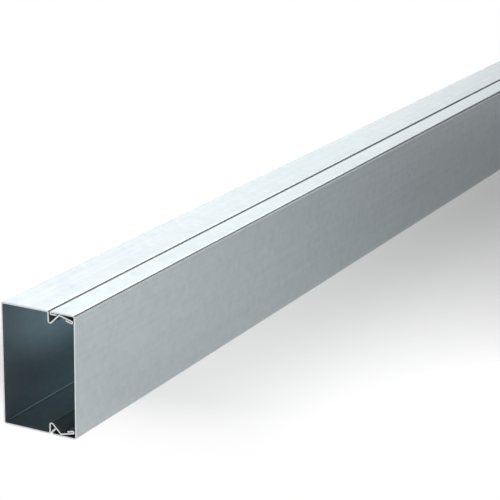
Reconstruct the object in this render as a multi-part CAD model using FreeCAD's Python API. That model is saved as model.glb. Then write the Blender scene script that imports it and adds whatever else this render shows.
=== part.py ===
import FreeCAD
import Part

import os
from math import asin, atan2, cos, hypot, pi, sin, tan

# Steel cable trunking: a folded base, and a cover that clips over its open side.
# X runs along the length, the cover faces -Y, the back wall faces +Y, and the trunking
# lies on one of its narrow sides with that side at Z = 0. Sizes are millimetres.
length = 2000.0
width = 60.0                # across the cover's face
depth = 40.0                # from the cover's face to the back wall

# The zinc-coated strip that both pieces are folded from
sheet = 0.75
bend_radius = 0.6           # inside of every plain bend
hem_gap = 0.25              # between the two leaves of a flattened edge

# The cover's two lips reach over the sides of the base and end above its grooves
lip = 13.5                  # from the cover's face to the lip's folded edge
barb_radius = 0.4           # inside of the fold that the lower lip's barb springs from

# The base has a groove, a ridge and a hemmed edge flange along each side of its mouth
groove_depth = 6.0          # from the side's outer face to the bottom of the groove
groove_width = 5.8          # from the groove's upright wall to the ridge
edge_depth = 3.4            # from the side's outer face to the fold of the hemmed edge
hem_width = 3.9             # of the leaf that the hemmed edge is folded back by

# Clearances between the base and the cover
joint_gap = 0.5             # open seam between a lip's edge and the groove's upright wall
fit_gap = 0.15              # ridge under its lip, and folded lip edge off the sloping wall
edge_gap = 0.3              # hemmed edge behind the cover's face

# Fixing slots along the middle of the back wall
slot_width = 6.0
slot_length = 15.0
slot_pitch = 250.0

# A bend is (y, z, radius): its centre, and the radius of the sheet's middle line round it.
# The radius is positive where the strip turns left and negative where it turns right.
# A free end of the strip is a bend of radius 0.
middle = sheet / 2
bend = bend_radius + middle
bend_outside = bend_radius + sheet
hem = hem_gap / 2 + middle
barb = barb_radius + middle
front = -depth / 2
back = depth / 2


def heading_between(first, second):
    """Direction of the straight run from one bend to the next, as an angle from +Y towards +Z."""
    y1, z1, radius1 = first
    y2, z2, radius2 = second
    span = hypot(y2 - y1, z2 - z1)
    return atan2(z2 - z1, y2 - y1) - asin((radius2 - radius1) / span)


def beside(turn, heading, offset):
    """Point where a run with this heading meets a bend, offset to the left of the middle line."""
    y, z, radius = turn
    reach = radius - offset
    return FreeCAD.Vector(0, y + reach * sin(heading), z - reach * cos(heading))


def strip_side(turns, headings, offset):
    """Edges along one face of a folded strip: straight runs, with an arc round each bend."""
    edges = []
    for number, heading in enumerate(headings):
        start = beside(turns[number], heading, offset)
        end = beside(turns[number + 1], heading, offset)
        edges.append(Part.LineSegment(start, end).toShape())
        if number + 1 == len(headings):
            break
        turn = turns[number + 1]
        angle = (headings[number + 1] - heading) % (2 * pi)
        if turn[2] < 0:
            angle -= 2 * pi
        half_way = beside(turn, heading + angle / 2, offset)
        arc_end = beside(turn, headings[number + 1], offset)
        edges.append(Part.Arc(end, half_way, arc_end).toShape())
    return edges


def folded_strip(turns):
    """Solid strip of sheet, folded at these bends and as long as the trunking."""
    headings = [heading_between(first, second) for first, second in zip(turns, turns[1:])]
    left = strip_side(turns, headings, middle)
    right = strip_side(turns, headings, -middle)
    cut_edges = [
        Part.LineSegment(left[0].Vertexes[0].Point, right[0].Vertexes[0].Point).toShape(),
        Part.LineSegment(left[-1].Vertexes[-1].Point, right[-1].Vertexes[-1].Point).toShape(),
    ]
    outline = Part.Wire(Part.__sortEdges__(left + right + cut_edges))
    section = Part.Face(outline)
    section.translate(FreeCAD.Vector(-length / 2, 0, 0))
    return section.extrude(FreeCAD.Vector(length, 0, 0))


def opposite(turns):
    """The same bends on the upper side, met in the opposite order along the strip."""
    return [(y, width - z, radius) for y, z, radius in reversed(turns)]


def slot(x):
    """Cutter for a round-ended fixing slot through the back wall, lengthwise, centred at x."""
    half = (slot_length - slot_width) / 2
    round_end = slot_width / 2
    low = width / 2 - round_end
    high = width / 2 + round_end
    near = back - sheet
    lower_left = FreeCAD.Vector(x - half, near, low)
    lower_right = FreeCAD.Vector(x + half, near, low)
    upper_right = FreeCAD.Vector(x + half, near, high)
    upper_left = FreeCAD.Vector(x - half, near, high)
    right_tip = FreeCAD.Vector(x + half + round_end, near, width / 2)
    left_tip = FreeCAD.Vector(x - half - round_end, near, width / 2)
    outline = Part.Wire([
        Part.LineSegment(lower_left, lower_right).toShape(),
        Part.Arc(lower_right, right_tip, upper_right).toShape(),
        Part.LineSegment(upper_right, upper_left).toShape(),
        Part.Arc(upper_left, left_tip, lower_left).toShape(),
    ])
    return Part.Face(outline).extrude(FreeCAD.Vector(0, sheet, 0))


# Bends of the base's lower side, from the hemmed edge behind the cover to the back wall.
# The hem is folded inwards, so that no raw edge meets the cables.
groove_wall = front + lip + joint_gap
edge_fold = (front + sheet + edge_gap + middle + hem, edge_depth, hem)
ridge = (groove_wall - groove_width, sheet + fit_gap + bend_outside, bend)
groove = (groove_wall + middle - bend, groove_depth - bend_outside, -bend)
shoulder = (groove_wall + middle + bend, middle + bend, bend)
back_corner = (back - middle - bend, middle + bend, bend)

flange = heading_between(edge_fold, ridge)
hem_leaf = hem_width - middle - hem
edge_end = (
    edge_fold[0] + hem_leaf * cos(flange) - hem * sin(flange),
    edge_fold[1] + hem_leaf * sin(flange) + hem * cos(flange),
    0,
)
base_side = [edge_end, edge_fold, ridge, groove, shoulder, back_corner]

base = folded_strip(base_side + opposite(base_side))
slot_count = int(length // slot_pitch)
for number in range(slot_count):
    base = base.cut(slot((number - (slot_count - 1) / 2) * slot_pitch))

# The sloping wall between ridge and groove is what both lips of the cover catch on.
slope = heading_between(ridge, groove)
slope_start_y = ridge[0] + bend_outside * sin(slope)
slope_start_z = ridge[1] - bend_outside * cos(slope)

# The upper lip ends in a flattened hem whose leaf stops just short of the sloping wall.
leaf_bottom = 2 * sheet + hem_gap
leaf_y = slope_start_y + (leaf_bottom - slope_start_z) / tan(slope) + fit_gap / sin(slope)
hem_fold = (front + lip - middle - hem, width - middle - hem, hem)
leaf_end = (leaf_y, width - leaf_bottom + middle, 0)

# The lower lip ends in an open barb that stands square on the sloping wall.
barb_fold = (front + lip - middle - barb, middle + barb, barb)
ridge_to_fold = (barb_fold[0] - ridge[0]) * sin(slope) - (barb_fold[1] - ridge[1]) * cos(slope)
barb_reach = ridge_to_fold - bend_outside - fit_gap
barb_tip = (
    barb_fold[0] + barb * cos(slope) - barb_reach * sin(slope),
    barb_fold[1] + barb * sin(slope) + barb_reach * cos(slope),
    0,
)

upper_corner = (front + middle + bend, width - middle - bend, bend)
lower_corner = (front + middle + bend, middle + bend, bend)
cover = folded_strip([leaf_end, hem_fold, upper_corner, lower_corner, barb_fold, barb_tip])

os.makedirs("parts", exist_ok=True)
base.exportStep("parts/trunking_base.step")
cover.exportStep("parts/cover.step")
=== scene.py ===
from math import asin, atan2, cos, hypot, pi, radians, sin, tan

import bmesh
import bpy
from mathutils import Matrix, Vector


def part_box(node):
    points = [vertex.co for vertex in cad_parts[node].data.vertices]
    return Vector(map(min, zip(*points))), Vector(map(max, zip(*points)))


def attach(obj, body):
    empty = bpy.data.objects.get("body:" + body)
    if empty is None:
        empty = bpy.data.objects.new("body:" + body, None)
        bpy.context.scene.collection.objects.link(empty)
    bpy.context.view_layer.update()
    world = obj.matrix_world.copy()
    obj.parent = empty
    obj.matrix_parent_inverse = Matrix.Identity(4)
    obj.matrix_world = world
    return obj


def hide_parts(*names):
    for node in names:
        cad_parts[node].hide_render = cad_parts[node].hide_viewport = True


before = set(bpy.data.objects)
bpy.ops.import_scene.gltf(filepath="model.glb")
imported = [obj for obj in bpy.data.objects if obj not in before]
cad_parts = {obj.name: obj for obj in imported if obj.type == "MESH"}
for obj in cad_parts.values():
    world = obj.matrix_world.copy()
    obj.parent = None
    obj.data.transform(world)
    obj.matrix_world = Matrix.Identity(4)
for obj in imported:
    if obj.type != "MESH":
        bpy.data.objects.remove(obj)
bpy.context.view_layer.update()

# The folded base of the trunking: one strip of zinc-coated sheet steel, folded on a roll former. Its back
# wall is screwed to a building. Along each side of its open mouth it has a groove and a ridge, which hold
# the cover, and an edge that is folded back on itself, so that no raw edge meets the cables.
mm = 0.001
base_low, base_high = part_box("trunking_base")
cover_low, cover_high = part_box("cover")
width = base_high.z - base_low.z
front = cover_low.y
back = base_high.y
lip = cover_high.y - cover_low.y
sheet = 0.75 * mm
bend_radius = 0.6 * mm
hem_gap = 0.25 * mm
groove_depth = 6.0 * mm
groove_width = 5.8 * mm
edge_depth = 3.4 * mm
hem_width = 3.9 * mm
joint_gap = 0.5 * mm
fit_gap = 0.15 * mm

# A bend is (y, z, radius): its centre, and the radius of the sheet's middle line round it, which is
# positive where the strip turns left. A free end of the strip is a bend of radius 0.
middle = sheet / 2
bend = bend_radius + middle
bend_outside = bend_radius + sheet
hem = hem_gap / 2 + middle


def heading_between(first, second):
    """Direction of the straight run from one bend to the next, as an angle from +Y towards +Z."""
    y1, z1, radius1 = first
    y2, z2, radius2 = second
    span = hypot(y2 - y1, z2 - z1)
    return atan2(z2 - z1, y2 - y1) - asin((radius2 - radius1) / span)


def run_end(turn, heading):
    """Where a straight run with this heading meets a bend, at the strip's first cut end."""
    y, z, radius = turn
    return Vector((base_low.x, y + radius * sin(heading), z - radius * cos(heading)))


def folded_strip(bends):
    """The strip's middle surface: straight runs drawn out one after another, each spun round its bend."""
    facet = radians(9)
    fewest_facets = 4
    headings = [heading_between(first, second) for first, second in zip(bends, bends[1:])]
    bm = bmesh.new()
    fold = bm.verts.layers.float.new("fold")
    tip = bm.verts.new(run_end(bends[0], headings[0]))
    for number, heading in enumerate(headings):
        turn = bends[number + 1]
        drawn = bmesh.ops.extrude_vert_indiv(bm, verts=[tip])
        tip = drawn["verts"][0]
        tip.co = run_end(turn, heading)
        if number + 1 == len(headings):
            break
        angle = (headings[number + 1] - heading) % (2 * pi)
        if turn[2] < 0:
            angle -= 2 * pi
        count = len(bm.verts)
        bmesh.ops.spin(
            bm, geom=[tip], cent=(base_low.x, turn[0], turn[1]), axis=(1, 0, 0),
            angle=angle, steps=max(fewest_facets, round(abs(angle) / facet)),
        )
        *round_bend, tip = list(bm.verts)[count:]
        for vert in round_bend:
            vert[fold] = 1
    drawn = bmesh.ops.extrude_edge_only(bm, edges=bm.edges[:])
    far_side = [part for part in drawn["geom"] if isinstance(part, bmesh.types.BMVert)]
    bmesh.ops.translate(bm, verts=far_side, vec=(base_high.x - base_low.x, 0, 0))
    return bm


def opposite(bends):
    """The same bends on the upper side, met in the opposite order along the strip."""
    return [(y, width - z, radius) for y, z, radius in reversed(bends)]


groove_wall = front + lip + joint_gap
edge_fold = (base_low.y + middle + hem, edge_depth, hem)
ridge = (groove_wall - groove_width, sheet + fit_gap + bend_outside, bend)
groove = (groove_wall + middle - bend, groove_depth - bend_outside, -bend)
shoulder = (groove_wall + middle + bend, middle + bend, bend)
back_corner = (back - middle - bend, middle + bend, bend)
flange = heading_between(edge_fold, ridge)
hem_leaf = hem_width - middle - hem
edge_end = (
    edge_fold[0] + hem_leaf * cos(flange) - hem * sin(flange),
    edge_fold[1] + hem_leaf * sin(flange) + hem * cos(flange),
    0,
)
base_side = [edge_end, edge_fold, ridge, groove, shoulder, back_corner]
base_bm = folded_strip(base_side + opposite(base_side))

# The fixing slots are punched in a row along the middle of the back wall. Each is longer than a screw is
# wide, so that the trunking can still be shifted along the wall.
slot_width = 6 * mm
slot_length = 15 * mm
slot_pitch = 250 * mm
slot_sides = 32
slot_count = int((base_high.x - base_low.x) / slot_pitch + 0.5)
back_wall = max(base_bm.faces, key=lambda face: face.calc_area())
wall_edges = back_wall.edges[:]
bmesh.ops.delete(base_bm, geom=[back_wall], context="FACES_ONLY")
upright = Matrix.Rotation(pi / 2, 4, "X") @ Matrix.Rotation(pi / slot_sides, 4, "Z")
for number in range(slot_count):
    centre = Vector(((number - (slot_count - 1) / 2) * slot_pitch, back - middle, width / 2))
    ring = bmesh.ops.create_circle(
        base_bm, segments=slot_sides, radius=slot_width / 2, matrix=Matrix.Translation(centre) @ upright
    )["verts"]
    for half in (-1, 1):
        end = [vert for vert in ring if (vert.co.x - centre.x) * half > 0]
        bmesh.ops.translate(base_bm, verts=end, vec=(half * (slot_length - slot_width) / 2, 0, 0))
    wall_edges += {edge for vert in ring for edge in vert.link_edges}
bmesh.ops.triangle_fill(base_bm, use_beauty=True, edges=wall_edges, normal=(0, 1, 0))


def sheet_piece(name, bm, body, node):
    """A piece of sheet from its middle surface: thickness both ways, with the cut edges eased."""
    edge_easing = 0.05 * mm
    cut_edge_angle = radians(60)
    bmesh.ops.recalc_face_normals(bm, faces=bm.faces)
    for face in bm.faces:
        face.smooth = True
    mesh = bpy.data.meshes.new(name)
    bm.to_mesh(mesh)
    bm.free()
    piece = bpy.data.objects.new(name, mesh)
    bpy.context.scene.collection.objects.link(piece)
    thickness = piece.modifiers.new("sheet thickness", "SOLIDIFY")
    thickness.thickness = sheet
    thickness.offset = 0
    thickness.use_even_offset = True
    thickness.material_offset_rim = 1
    eased = piece.modifiers.new("eased cut edges", "BEVEL")
    eased.width = edge_easing
    eased.segments = 2
    eased.limit_method = "ANGLE"
    eased.angle_limit = cut_edge_angle
    flat = piece.modifiers.new("flat panels", "WEIGHTED_NORMAL")
    flat.weight = 100
    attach(piece, body)
    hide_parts(node)
    return piece


folded_base = sheet_piece("folded_base", base_bm, "base", "trunking_base")


def linear(hex_colour):
    """An sRGB hex colour as linear red, green, blue and a full alpha."""
    channels = [int(hex_colour[start:start + 2], 16) / 255 for start in (1, 3, 5)]
    return [c / 12.92 if c <= 0.04045 else ((c + 0.055) / 1.055) ** 2.4 for c in channels] + [1]


def add_node(tree, kind, inputs, **settings):
    """Adds a shader node with its settings, and gives each input a value or a link."""
    node = tree.nodes.new("ShaderNode" + kind)
    for name, value in settings.items():
        setattr(node, name, value)
    for key, value in inputs.items():
        if isinstance(value, bpy.types.NodeSocket):
            tree.links.new(value, node.inputs[key])
        else:
            node.inputs[key].default_value = value
    return node


# Strip-galvanised steel, rolled smooth after the zinc bath: a satin grey with a cool cast. It has faint zinc
# crystals, faint marks along the rolling direction and dull clouds, and is burnished where rollers fold it.
# In a Mix of colours, inputs 6 and 7 are the two colours and output 2 is what they give.
crystal_size = 3.5 * mm
streak_length = 350 * mm
streak_width = 1.6 * mm     # real ones are finer, and this is as fine as the render shows
cloud_size = 110 * mm
grain_depth = 0.006 * mm
crystal_share, streak_share, cloud_share = 0.3, 0.5, 0.2
dark_tone, light_tone = 0.3, 0.7
dark_roughness, light_roughness = 0.43, 0.37
burnished_gloss = 0.2
bare_metal = 0.8            # the rest is a dull film of oxide
dark_zinc = linear("#A8B2B6")
light_zinc = linear("#BDC5C8")
burnished_zinc = linear("#C7CDCE")
galvanised = bpy.data.materials.new("strip_galvanised_steel")
galvanised.use_nodes = True
tree = galvanised.node_tree
tree.nodes.clear()
place = add_node(tree, "TexCoord", {}).outputs["Object"]
crystals = add_node(tree, "TexVoronoi", {"Vector": place, "Scale": 1 / crystal_size})
along = add_node(
    tree, "Mapping", {"Vector": place, "Scale": (1 / streak_length, 1 / streak_width, 1 / streak_width)}
)
streaks = add_node(
    tree, "TexNoise", {"Vector": along.outputs[0], "Scale": 1.0, "Detail": 2.0, "Roughness": 0.6}
)
clouds = add_node(tree, "TexNoise", {"Vector": place, "Scale": 1 / cloud_size, "Detail": 3.0})
tone = add_node(tree, "Math", {0: crystals.outputs["Color"], 1: crystal_share}, operation="MULTIPLY")
tone = add_node(
    tree, "Math", {0: streaks.outputs[0], 1: streak_share, 2: tone.outputs[0]}, operation="MULTIPLY_ADD"
)
tone = add_node(
    tree, "Math", {0: clouds.outputs[0], 1: cloud_share, 2: tone.outputs[0]}, operation="MULTIPLY_ADD"
)
zinc = add_node(tree, "Mix", {"Factor": tone.outputs[0], 6: dark_zinc, 7: light_zinc}, data_type="RGBA")
fold = add_node(tree, "Attribute", {}, attribute_name="fold")
burnish = add_node(tree, "Math", {0: fold.outputs["Fac"], 1: streaks.outputs[0]}, operation="MULTIPLY")
zinc = add_node(
    tree, "Mix", {"Factor": burnish.outputs[0], 6: zinc.outputs[2], 7: burnished_zinc}, data_type="RGBA"
)
satin = add_node(tree, "MapRange", {
    "Value": tone.outputs[0], "From Min": dark_tone, "From Max": light_tone,
    "To Min": dark_roughness, "To Max": light_roughness,
})
satin = add_node(
    tree, "Math", {0: fold.outputs["Fac"], 1: -burnished_gloss, 2: satin.outputs[0]},
    operation="MULTIPLY_ADD",
)
grain = add_node(tree, "Bump", {"Height": tone.outputs[0], "Distance": grain_depth, "Strength": 1.0})
steel = add_node(tree, "BsdfPrincipled", {
    "Base Color": zinc.outputs[2], "Metallic": bare_metal,
    "Roughness": satin.outputs[0], "Normal": grain.outputs[0],
})
add_node(tree, "OutputMaterial", {"Surface": steel.outputs["BSDF"]})
folded_base.data.materials.append(galvanised)

# Sheared edge of the strip: bare steel where the blade tore it, dull and dark in the tears, with bright
# smears of zinc where the blade drew the coating over.
tear_size = 0.6 * mm        # real ones are finer, and this is as fine as the render shows
tear_depth = 0.02 * mm
torn_roughness, smeared_roughness = 0.6, 0.4
bare_steel = linear("#C2C7C9")
smeared_zinc = linear("#ECEFF0")
sheared = bpy.data.materials.new("sheared_steel_edge")
sheared.use_nodes = True
tree = sheared.node_tree
tree.nodes.clear()
place = add_node(tree, "TexCoord", {}).outputs["Object"]
tears = add_node(tree, "TexNoise", {"Vector": place, "Scale": 1 / tear_size, "Detail": 2.0})
bare = add_node(tree, "Mix", {"Factor": tears.outputs[0], 6: bare_steel, 7: smeared_zinc}, data_type="RGBA")
dull = add_node(
    tree, "MapRange", {"Value": tears.outputs[0], "To Min": torn_roughness, "To Max": smeared_roughness}
)
torn = add_node(tree, "Bump", {"Height": tears.outputs[0], "Distance": tear_depth, "Strength": 1.0})
steel = add_node(tree, "BsdfPrincipled", {
    "Base Color": bare.outputs[2], "Metallic": 1.0,
    "Roughness": dull.outputs[0], "Normal": torn.outputs[0],
})
add_node(tree, "OutputMaterial", {"Surface": steel.outputs["BSDF"]})
folded_base.data.materials.append(sheared)

# The clip-on cover: one strip of the same sheet, folded into a face and two lips. It is pressed on over the
# mouth of the base. Its upper lip ends in a flattened hem and its lower lip in an open barb, and each
# catches in a groove.
barb_radius = 0.4 * mm
barb = barb_radius + middle
slope = heading_between(ridge, groove)
slope_start_y = ridge[0] + bend_outside * sin(slope)
slope_start_z = ridge[1] - bend_outside * cos(slope)
leaf_bottom = 2 * sheet + hem_gap
leaf_y = slope_start_y + (leaf_bottom - slope_start_z) / tan(slope) + fit_gap / sin(slope)
hem_fold = (front + lip - middle - hem, width - middle - hem, hem)
leaf_end = (leaf_y, width - leaf_bottom + middle, 0)
barb_fold = (front + lip - middle - barb, middle + barb, barb)
ridge_to_fold = (barb_fold[0] - ridge[0]) * sin(slope) - (barb_fold[1] - ridge[1]) * cos(slope)
barb_reach = ridge_to_fold - bend_outside - fit_gap
barb_tip = (
    barb_fold[0] + barb * cos(slope) - barb_reach * sin(slope),
    barb_fold[1] + barb * sin(slope) + barb_reach * cos(slope),
    0,
)
upper_corner = (front + middle + bend, width - middle - bend, bend)
lower_corner = (front + middle + bend, middle + bend, bend)
cover_bm = folded_strip([leaf_end, hem_fold, upper_corner, lower_corner, barb_fold, barb_tip])
clip_on_cover = sheet_piece("clip_on_cover", cover_bm, "cover", "cover")
clip_on_cover.data.materials.append(galvanised)
clip_on_cover.data.materials.append(sheared)

# Studio floor: a wide sheet of white paper that the trunking lies on. It is seen as pure white, by the
# camera and in the metal alike, except before the cover, where the light and shadow that fall on it show. A
# small share of painted light glows there too, most of it next to the cover, and lifts that shadow as a fill
# would.
floor_reach = 60
floor_drop = 0.1 * mm
paper_white = linear("#EBEBEB")
shade_depth = 130 * mm
fade_width = 100 * mm
painted_fill_beside_cover = 0.27
floor_bm = bmesh.new()
bmesh.ops.create_grid(floor_bm, x_segments=1, y_segments=1, size=floor_reach)
bmesh.ops.translate(floor_bm, verts=floor_bm.verts, vec=(0, 0, -floor_drop))
floor_mesh = bpy.data.meshes.new("paper_floor")
floor_bm.to_mesh(floor_mesh)
floor_bm.free()
paper_floor = bpy.data.objects.new("paper_floor", floor_mesh)
bpy.context.scene.collection.objects.link(paper_floor)
paper = bpy.data.materials.new("white_paper")
paper.use_nodes = True
tree = paper.node_tree
tree.nodes.clear()
lit = add_node(tree, "BsdfDiffuse", {"Color": paper_white})
place = add_node(tree, "TexCoord", {}).outputs["Object"]
across = add_node(tree, "SeparateXYZ", {0: place}).outputs["Y"]
# Painted light: a white glow before the cover, rising to its full share at the cover's face, lifts the
# shadow there.
painted_fill = add_node(
    tree, "MapRange",
    {"Value": across, "From Min": front - shade_depth, "From Max": front, "To Max": painted_fill_beside_cover},
)
shade_middle = (0, shade_depth / 2, 0)
shade_reach = (base_high.x - fade_width, back + shade_depth / 2, 0)
beyond = add_node(tree, "VectorMath", {0: place, 1: shade_middle}, operation="ADD")
beyond = add_node(tree, "VectorMath", {0: beyond.outputs[0]}, operation="ABSOLUTE")
beyond = add_node(tree, "VectorMath", {0: beyond.outputs[0], 1: shade_reach}, operation="SUBTRACT")
beyond = add_node(tree, "VectorMath", {0: beyond.outputs[0], 1: (0, 0, 0)}, operation="MAXIMUM")
beyond = add_node(tree, "VectorMath", {0: beyond.outputs[0]}, operation="LENGTH").outputs["Value"]
away = add_node(
    tree, "MapRange", {"Value": beyond, "From Max": fade_width}, interpolation_type="SMOOTHSTEP"
)
# The painted fill light joins the white of the paper here.
away = add_node(tree, "Math", {0: away.outputs[0], 1: painted_fill.outputs[0]}, operation="MAXIMUM")
rays = add_node(tree, "LightPath", {}).outputs
seen = add_node(tree, "Math", {0: rays["Is Camera Ray"], 1: rays["Is Glossy Ray"]}, operation="MAXIMUM")
seen = add_node(tree, "Math", {0: seen.outputs[0], 1: rays["Is Transmission Ray"]}, operation="MAXIMUM")
share = add_node(tree, "Math", {0: seen.outputs[0], 1: away.outputs[0]}, operation="MULTIPLY")
white = add_node(tree, "Emission", {"Color": (1, 1, 1, 1), "Strength": 1.0})
mixed = add_node(tree, "MixShader", {0: share.outputs[0], 1: lit.outputs[0], 2: white.outputs[0]})
add_node(tree, "OutputMaterial", {"Surface": mixed.outputs[0]})
paper_floor.data.materials.append(paper)

# Studio light: a grey room with soft boxes, all clear of the way the cover slides. One behind, over a white
# card, lights the upper side. One over the near end and a low one further along light the cover, and one
# beyond lights the cut edges. A pale card inside lifts the dark there, in the tint of light off zinc.
room_level = 0.175
near_end = Vector((base_low.x, 0, width / 2))
world = bpy.data.worlds.new("grey_room")
bpy.context.scene.world = world
world.use_nodes = True
tree = world.node_tree
tree.nodes.clear()
room = add_node(tree, "Background", {"Color": (1, 1, 1, 1), "Strength": room_level})
add_node(tree, "OutputWorld", {"Surface": room.outputs[0]})


def soft_box(name, place, target, size, level, colour="#FFFFFF", mirrored=True):
    """A soft box turned towards a target, both measured from the middle of the near end, in metres.

    Its face is as bright as white paper at level 1, and mirrored says whether the metal shows it.
    """
    lamp = bpy.data.lights.new(name, "AREA")
    lamp.color = linear(colour)[:3]
    lamp.shape = "RECTANGLE"
    lamp.size, lamp.size_y = size
    lamp.energy = level * pi * size[0] * size[1]
    box = bpy.data.objects.new(name, lamp)
    box.location = near_end + Vector(place)
    box.rotation_euler = (Vector(target) - Vector(place)).to_track_quat("-Z", "Y").to_euler()
    box.visible_camera = False
    box.visible_glossy = mirrored
    bpy.context.scene.collection.objects.link(box)


soft_box("back_box", (1.52, 1.17, 1.2), (0.2, 0, 0), (2.0, 0.9), 3.35)
soft_box("back_card", (1.67, 1.45, 0.27), (0.07, 0.15, 0.27), (3.0, 0.64), 1.5)
soft_box("front_box", (0.08, -0.3, 0.3), (-0.05, -0.06, 0), (0.14, 0.35), 12, mirrored=False)
soft_box("low_front_box", (1.3, -0.8, 0.22), (0.8, 0, 0), (0.8, 0.2), 1.4)
soft_box("end_box", (-2.1, 0.756, 0.115), (0, 0, 0.01), (1.68, 0.28), 3.9)
soft_box("inside_card", (0.1, -0.0165, -0.0075), (0.1, 0.02, -0.0075), (0.09, 0.025), 0.64, colour="#C4E2EE")

# The camera stands before the near end and looks along the trunking, a little from above. Its place, turn
# and lens are fitted to the straight edges of the trunking in the photograph.
eye = Vector((base_low.x - 634.8 * mm, front - 413.8 * mm, 327.2 * mm))
yaw, pitch, roll = radians(62.77), radians(17.31), radians(1.0)
forward = Vector((sin(yaw) * cos(pitch), cos(yaw) * cos(pitch), -sin(pitch)))
level_right = forward.cross(Vector((0, 0, 1))).normalized()
level_up = level_right.cross(forward)
right = level_right * cos(roll) + level_up * sin(roll)
up = right.cross(forward)
lens = bpy.data.cameras.new("camera")
lens.sensor_width = 36
lens.lens = 129.12
lens.clip_start = 0.05
lens.clip_end = 300
camera = bpy.data.objects.new("camera", lens)
camera.location = eye
camera.rotation_euler = Matrix((right, up, -forward)).transposed().to_euler()
bpy.context.scene.collection.objects.link(camera)
bpy.context.scene.camera = camera
bpy.context.scene.view_settings.view_transform = "Standard"

bpy.context.view_layer.update()
